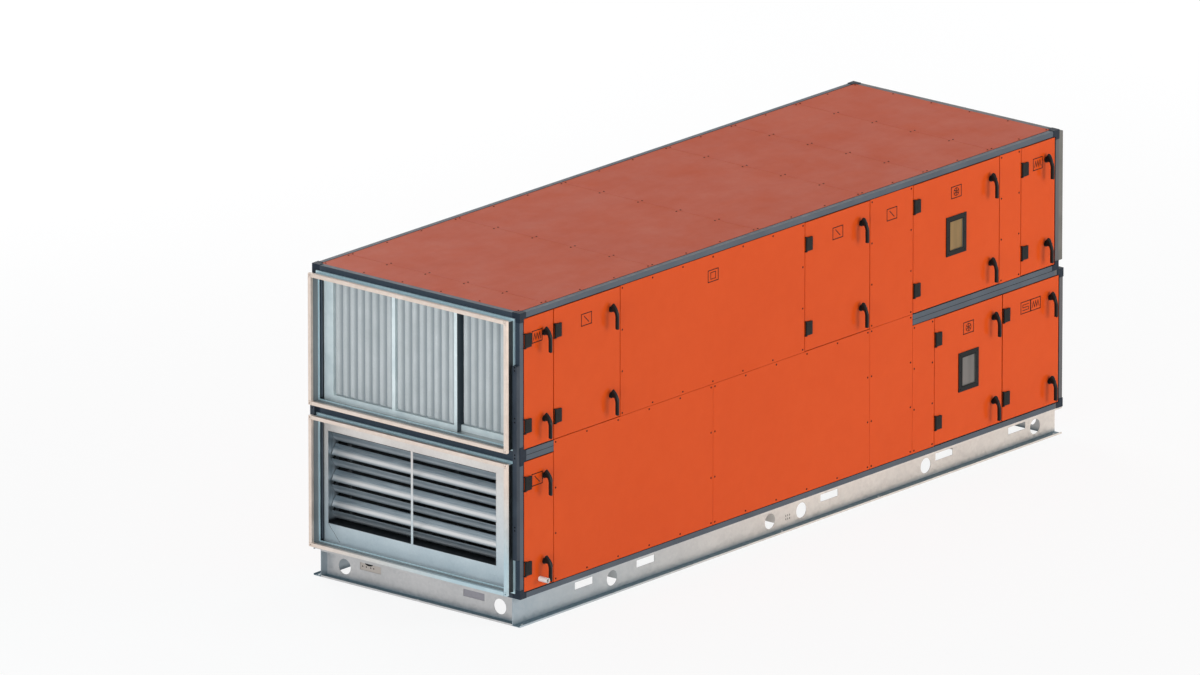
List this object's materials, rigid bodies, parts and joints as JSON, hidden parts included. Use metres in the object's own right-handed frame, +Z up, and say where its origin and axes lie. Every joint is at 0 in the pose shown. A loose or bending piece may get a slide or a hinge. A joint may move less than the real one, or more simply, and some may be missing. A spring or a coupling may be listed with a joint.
{
  "type": "air handling unit",
  "caption": "Two-deck air handling unit on a channel base: framed sandwich-panel casing, hinged service doors, duct connections at the ends, pleated filters above and a louvre damper below.",
  "frame": {"origin": "centre of the bounding box at floor level", "axes": "+X along the unit away from the intake connectors, +Y from the service side to the back, +Z up"},
  "size_m": [6.417, 2.084, 2.407],
  "materials": {
    "black_plastic": "fine grained",
    "blade_aluminium": "mill finish",
    "corner_plastic": "moulded",
    "dark_strip": "satin dark blue-grey",
    "filter_cloth": "matt pleated cloth",
    "frame_profile": "satin blue-grey",
    "galvanised": "galvanised sheet",
    "orange_panel": "semi-gloss powder coat",
    "roof_panel": "semi-gloss powder coat",
    "sleeve_fabric": "coated cloth",
    "white_plastic": "smooth",
    "window_glass": "clear double pane"
  },
  "bodies": {
    "casing": {"back_panels": "orange_panel", "base_cross_members": "galvanised", "base_end_beams": "galvanised", "base_side_beams": "galvanised", "blanking_plate": "galvanised", "casing_frame": "frame_profile", "connector_sleeves": "sleeve_fabric", "corner_blocks": "corner_plastic", "damper_frame": "galvanised", "deck_floors": "galvanised", "duct_flanges": "galvanised", "filter_cells": "filter_cloth", "filter_frame": "galvanised", "hinge_brackets": "galvanised", "inner_posts": "galvanised", "joining_strips": "dark_strip", "lower_end_wall": "orange_panel", "roof_panels": "roof_panel", "side_panels": "orange_panel"},
    "upper_door_1": {"upper_door_1_fittings": "black_plastic", "upper_door_1_panel": "orange_panel"},
    "upper_door_2": {"upper_door_2_fittings": "black_plastic", "upper_door_2_panel": "orange_panel"},
    "upper_door_3": {"upper_door_3_fittings": "black_plastic", "upper_door_3_panel": "orange_panel"},
    "upper_door_4": {"upper_door_4_fittings": "black_plastic", "upper_door_4_pane": "window_glass", "upper_door_4_panel": "orange_panel"},
    "upper_door_5": {"upper_door_5_fittings": "black_plastic", "upper_door_5_panel": "orange_panel"},
    "lower_door_1": {"lower_door_1_fittings": "black_plastic", "lower_door_1_panel": "orange_panel", "drain_stub": "white_plastic"},
    "lower_door_2": {"lower_door_2_fittings": "black_plastic", "lower_door_2_pane": "window_glass", "lower_door_2_panel": "orange_panel"},
    "lower_door_3": {"lower_door_3_fittings": "black_plastic", "lower_door_3_panel": "orange_panel"},
    "damper_blade_1": {"damper_blade_1": "blade_aluminium"},
    "damper_blade_2": {"damper_blade_2": "blade_aluminium"},
    "damper_blade_3": {"damper_blade_3": "blade_aluminium"},
    "damper_blade_4": {"damper_blade_4": "blade_aluminium"},
    "damper_blade_5": {"damper_blade_5": "blade_aluminium"},
    "damper_blade_6": {"damper_blade_6": "blade_aluminium"},
    "damper_blade_7": {"damper_blade_7": "blade_aluminium"}
  },
  "joints": [
    {"name": "upper_door_1_hinge", "type": "hinge", "parent": "casing", "child": "upper_door_1", "pos_m": [-3.0505, -0.97, 1.856], "axis": [0, 0, -1], "range_deg": [0, 110]},
    {"name": "upper_door_2_hinge", "type": "hinge", "parent": "casing", "child": "upper_door_2", "pos_m": [-2.7105, -0.97, 1.856], "axis": [0, 0, -1], "range_deg": [0, 110]},
    {"name": "upper_door_3_hinge", "type": "hinge", "parent": "casing", "child": "upper_door_3", "pos_m": [0.1695, -0.97, 1.856], "axis": [0, 0, -1], "range_deg": [0, 110]},
    {"name": "upper_door_4_hinge", "type": "hinge", "parent": "casing", "child": "upper_door_4", "pos_m": [1.4345, -0.97, 1.856], "axis": [0, 0, -1], "range_deg": [0, 110]},
    {"name": "upper_door_5_hinge", "type": "hinge", "parent": "casing", "child": "upper_door_5", "pos_m": [2.7095, -0.97, 1.856], "axis": [0, 0, -1], "range_deg": [0, 110]},
    {"name": "lower_door_1_hinge", "type": "hinge", "parent": "casing", "child": "lower_door_1", "pos_m": [-3.0505, -0.97, 0.762], "axis": [0, 0, -1], "range_deg": [0, 110]},
    {"name": "lower_door_2_hinge", "type": "hinge", "parent": "casing", "child": "lower_door_2", "pos_m": [1.6925, -0.97, 0.762], "axis": [0, 0, -1], "range_deg": [0, 110]},
    {"name": "lower_door_3_hinge", "type": "hinge", "parent": "casing", "child": "lower_door_3", "pos_m": [2.4995, -0.97, 0.762], "axis": [0, 0, -1], "range_deg": [0, 110]},
    {"name": "damper_blade_1_turn", "type": "hinge", "parent": "casing", "child": "damper_blade_1", "pos_m": [-2.9785, 0.136, 0.462], "axis": [0, 1, 0], "range_deg": [-55, 35]},
    {"name": "damper_blade_2_turn", "type": "hinge", "parent": "casing", "child": "damper_blade_2", "pos_m": [-2.9785, 0.136, 0.562], "axis": [0, 1, 0], "range_deg": [-35, 55]},
    {"name": "damper_blade_3_turn", "type": "hinge", "parent": "casing", "child": "damper_blade_3", "pos_m": [-2.9785, 0.136, 0.662], "axis": [0, 1, 0], "range_deg": [-55, 35]},
    {"name": "damper_blade_4_turn", "type": "hinge", "parent": "casing", "child": "damper_blade_4", "pos_m": [-2.9785, 0.136, 0.762], "axis": [0, 1, 0], "range_deg": [-35, 55]},
    {"name": "damper_blade_5_turn", "type": "hinge", "parent": "casing", "child": "damper_blade_5", "pos_m": [-2.9785, 0.136, 0.862], "axis": [0, 1, 0], "range_deg": [-55, 35]},
    {"name": "damper_blade_6_turn", "type": "hinge", "parent": "casing", "child": "damper_blade_6", "pos_m": [-2.9785, 0.136, 0.962], "axis": [0, 1, 0], "range_deg": [-35, 55]},
    {"name": "damper_blade_7_turn", "type": "hinge", "parent": "casing", "child": "damper_blade_7", "pos_m": [-2.9785, 0.136, 1.062], "axis": [0, 1, 0], "range_deg": [-55, 35]}
  ],
  "couplings": [
    {"joint": "damper_blade_2_turn", "follows": "damper_blade_1_turn", "ratio": -1},
    {"joint": "damper_blade_3_turn", "follows": "damper_blade_1_turn", "ratio": 1},
    {"joint": "damper_blade_4_turn", "follows": "damper_blade_1_turn", "ratio": -1},
    {"joint": "damper_blade_5_turn", "follows": "damper_blade_1_turn", "ratio": 1},
    {"joint": "damper_blade_6_turn", "follows": "damper_blade_1_turn", "ratio": -1},
    {"joint": "damper_blade_7_turn", "follows": "damper_blade_1_turn", "ratio": 1}
  ]
}
